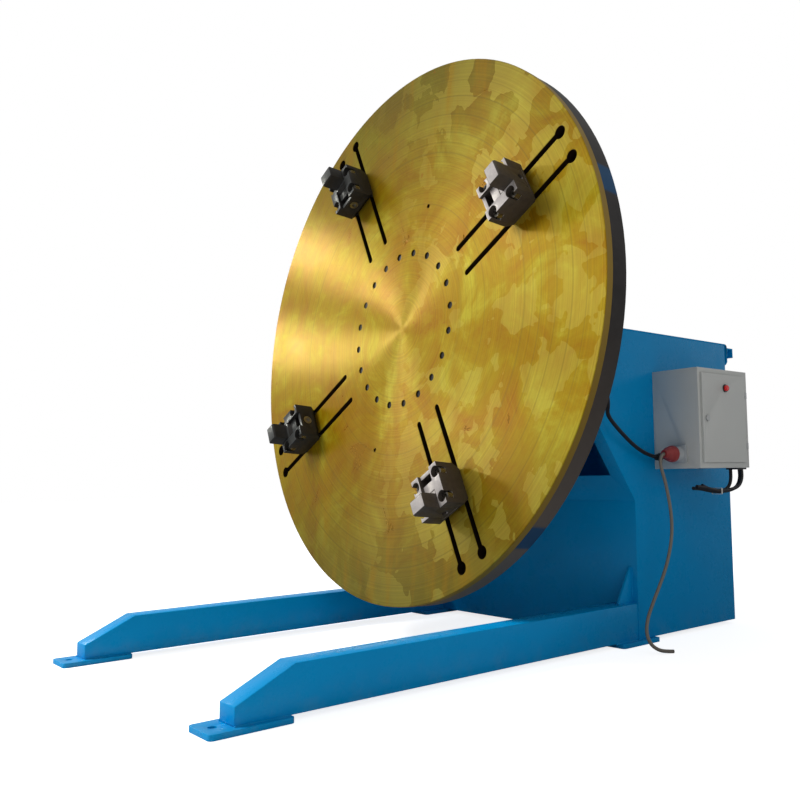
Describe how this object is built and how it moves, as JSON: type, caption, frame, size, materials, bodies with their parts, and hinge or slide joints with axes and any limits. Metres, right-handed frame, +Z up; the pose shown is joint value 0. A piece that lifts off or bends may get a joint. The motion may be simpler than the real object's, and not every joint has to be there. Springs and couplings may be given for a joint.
{
  "type": "welding positioner",
  "caption": "Tilting and turning welding positioner: large faceplate with T-slots and jaw units on a geared head in a floor stand with two long legs and a side control cabinet",
  "frame": {"origin": "on the floor at the middle of the footprint, under the centre of the outline", "axes": "+Z up, -Y the way the faceplate looks and the legs point, +X the side of the control cabinet"},
  "size_m": [1.9998, 2.23, 2.1396],
  "materials": {
    "blue_paint": "machinery blue gloss enamel, slightly orange-peeled",
    "machined_table": "turned steel under yellow rust-preventive oil",
    "machined_steel": "milled steel",
    "jaw_steel": "dark cast jaw body with machined faces",
    "dark_steel": "blackened high-tensile steel",
    "zinc_steel": "bright zinc plate",
    "gear_steel": "hobbed gear steel, greased",
    "bronze": "cast bronze",
    "drive_paint": "grey drive enamel",
    "carbon": "sintered copper-graphite",
    "cabinet_paint": "light grey powder coat",
    "red_lens": "red moulded lens",
    "black_plastic": "black moulded plastic",
    "red_plastic": "red moulded plug body",
    "grey_plastic": "grey moulded plastic",
    "white_plastic": "white nylon",
    "black_rubber": "black rubber-sheathed cable",
    "grey_rubber": "grey-black sheathed flexible cable"
  },
  "bodies": {
    "stand": {"frame_body": "blue_paint", "left_leg": "blue_paint", "right_leg": "blue_paint", "leg_gussets": "blue_paint", "foot_plates": "blue_paint", "top_cover": "blue_paint", "rear_cover": "blue_paint", "cable_hook": "blue_paint", "trunnion_housings": "blue_paint", "trunnion_bushes": "bronze", "stand_bolts": "zinc_steel", "tilt_gearbox": "drive_paint", "tilt_motor": "drive_paint", "cabinet_body": "cabinet_paint", "door_hinges": "zinc_steel", "mounting_plate": "zinc_steel", "control_gear": "grey_plastic", "supply_inlet": "grey_plastic", "supply_plug": "red_plastic", "lead_glands": "black_plastic", "supply_cord": "grey_rubber", "control_lead": "black_rubber", "hank_tail": "black_rubber", "cable_hank": "black_rubber", "cable_tie": "white_plastic"},
    "head": {"head_frame": "blue_paint", "trunnion_shafts": "machined_steel", "tilt_sector": "gear_steel", "head_bolts": "dark_steel", "slewing_inner_ring": "machined_steel", "slewing_rollers": "zinc_steel", "spin_gearbox": "drive_paint", "spin_motor": "drive_paint", "brush_holder": "black_plastic"},
    "table": {"faceplate": "machined_table", "faceplate_bolts": "dark_steel", "slewing_gear_ring": "gear_steel"},
    "tilt_pinion": {"tilt_pinion": "gear_steel"},
    "spin_pinion": {"spin_pinion": "gear_steel"},
    "earth_brush": {"earth_brush": "carbon"},
    "door": {"cabinet_door": "cabinet_paint", "lamp_body": "black_plastic", "lamp_lens": "red_lens"},
    "door_lock": {"door_lock": "zinc_steel"},
    "jaw_unit_1": {"jaw_base_1": "jaw_steel", "jaw_bolts_1": "dark_steel"},
    "sliding_jaw_1": {"sliding_jaw_1": "jaw_steel"},
    "jaw_screw_1": {"jaw_screw_1": "machined_steel"},
    "jaw_unit_2": {"jaw_base_2": "jaw_steel", "jaw_bolts_2": "dark_steel"},
    "sliding_jaw_2": {"sliding_jaw_2": "jaw_steel"},
    "jaw_screw_2": {"jaw_screw_2": "machined_steel"},
    "jaw_unit_3": {"jaw_base_3": "jaw_steel", "jaw_bolts_3": "dark_steel"},
    "sliding_jaw_3": {"sliding_jaw_3": "jaw_steel"},
    "jaw_screw_3": {"jaw_screw_3": "machined_steel"},
    "jaw_unit_4": {"jaw_base_4": "jaw_steel", "jaw_bolts_4": "dark_steel"},
    "sliding_jaw_4": {"sliding_jaw_4": "jaw_steel"},
    "jaw_screw_4": {"jaw_screw_4": "machined_steel"}
  },
  "joints": [
    {"name": "head_tilt", "type": "hinge", "parent": "stand", "child": "head", "pos_m": [0, 0.305, 0.95], "axis": [-1, 0, 0], "range_deg": [-5, 85]},
    {"name": "tilt_pinion_turn", "type": "hinge", "parent": "stand", "child": "tilt_pinion", "pos_m": [-0.43, 0.49428, 0.67968], "axis": [-1, 0, 0], "range_deg": [-330, 30]},
    {"name": "table_spin", "type": "hinge", "parent": "head", "child": "table", "pos_m": [0, -0.12978, 1.14363], "axis": [0, -0.9962, 0.0872], "continuous": true},
    {"name": "spin_pinion_turn", "type": "hinge", "parent": "head", "child": "spin_pinion", "pos_m": [0.27769, -0.00723, 0.82332], "axis": [0, -0.9962, 0.0872], "continuous": true},
    {"name": "earth_brush_slide", "type": "slide", "parent": "head", "child": "earth_brush", "axis": [0, 0.9962, -0.0872], "range_m": [0, 0.004], "stiffness_N_per_m": 1500, "springref_m": -0.004},
    {"name": "door_swing", "type": "hinge", "parent": "stand", "child": "door", "pos_m": [0.806, 0.864, 0.79], "axis": [0, 0, 1], "range_deg": [0, 120]},
    {"name": "lock_turn", "type": "hinge", "parent": "door", "child": "door_lock", "pos_m": [0.805, 0.614, 0.789], "axis": [1, 0, 0], "range_deg": [0, 90]},
    {"name": "unit_slide_1", "type": "slide", "parent": "table", "child": "jaw_unit_1", "axis": [0.866, 0.0436, 0.4981], "range_m": [-0.24, 0.15]},
    {"name": "jaw_slide_1", "type": "slide", "parent": "jaw_unit_1", "child": "sliding_jaw_1", "axis": [0.866, 0.0436, 0.4981], "range_m": [-0.018, 0.05]},
    {"name": "screw_turn_1", "type": "hinge", "parent": "jaw_unit_1", "child": "jaw_screw_1", "pos_m": [0.60622, -0.15113, 1.49683], "axis": [0.866, 0.0436, 0.4981], "range_deg": [-1100, 3020]},
    {"name": "unit_slide_2", "type": "slide", "parent": "table", "child": "jaw_unit_2", "axis": [-0.5, 0.0755, 0.8627], "range_m": [-0.24, 0.15]},
    {"name": "jaw_slide_2", "type": "slide", "parent": "jaw_unit_2", "child": "sliding_jaw_2", "axis": [-0.5, 0.0755, 0.8627], "range_m": [-0.018, 0.05]},
    {"name": "screw_turn_2", "type": "hinge", "parent": "jaw_unit_2", "child": "jaw_screw_2", "pos_m": [-0.35, -0.12879, 1.75208], "axis": [-0.5, 0.0755, 0.8627], "range_deg": [-1100, 3020]},
    {"name": "unit_slide_3", "type": "slide", "parent": "table", "child": "jaw_unit_3", "axis": [-0.866, -0.0436, -0.4981], "range_m": [-0.24, 0.15]},
    {"name": "jaw_slide_3", "type": "slide", "parent": "jaw_unit_3", "child": "sliding_jaw_3", "axis": [-0.866, -0.0436, -0.4981], "range_m": [-0.018, 0.05]},
    {"name": "screw_turn_3", "type": "hinge", "parent": "jaw_unit_3", "child": "jaw_screw_3", "pos_m": [-0.60622, -0.21213, 0.7995], "axis": [-0.866, -0.0436, -0.4981], "range_deg": [-1100, 3020]},
    {"name": "unit_slide_4", "type": "slide", "parent": "table", "child": "jaw_unit_4", "axis": [0.5, -0.0755, -0.8627], "range_m": [-0.24, 0.15]},
    {"name": "jaw_slide_4", "type": "slide", "parent": "jaw_unit_4", "child": "sliding_jaw_4", "axis": [0.5, -0.0755, -0.8627], "range_m": [-0.018, 0.05]},
    {"name": "screw_turn_4", "type": "hinge", "parent": "jaw_unit_4", "child": "jaw_screw_4", "pos_m": [0.35, -0.23447, 0.54426], "axis": [0.5, -0.0755, -0.8627], "range_deg": [-1100, 3020]}
  ],
  "couplings": [
    {"joint": "tilt_pinion_turn", "follows": "head_tilt", "ratio": -3.7143},
    {"joint": "spin_pinion_turn", "follows": "table_spin", "ratio": -3.8824},
    {"joint": "screw_turn_1", "follows": "jaw_slide_1", "rad_per_m": 1047.2},
    {"joint": "screw_turn_2", "follows": "jaw_slide_2", "rad_per_m": 1047.2},
    {"joint": "screw_turn_3", "follows": "jaw_slide_3", "rad_per_m": 1047.2},
    {"joint": "screw_turn_4", "follows": "jaw_slide_4", "rad_per_m": 1047.2}
  ]
}
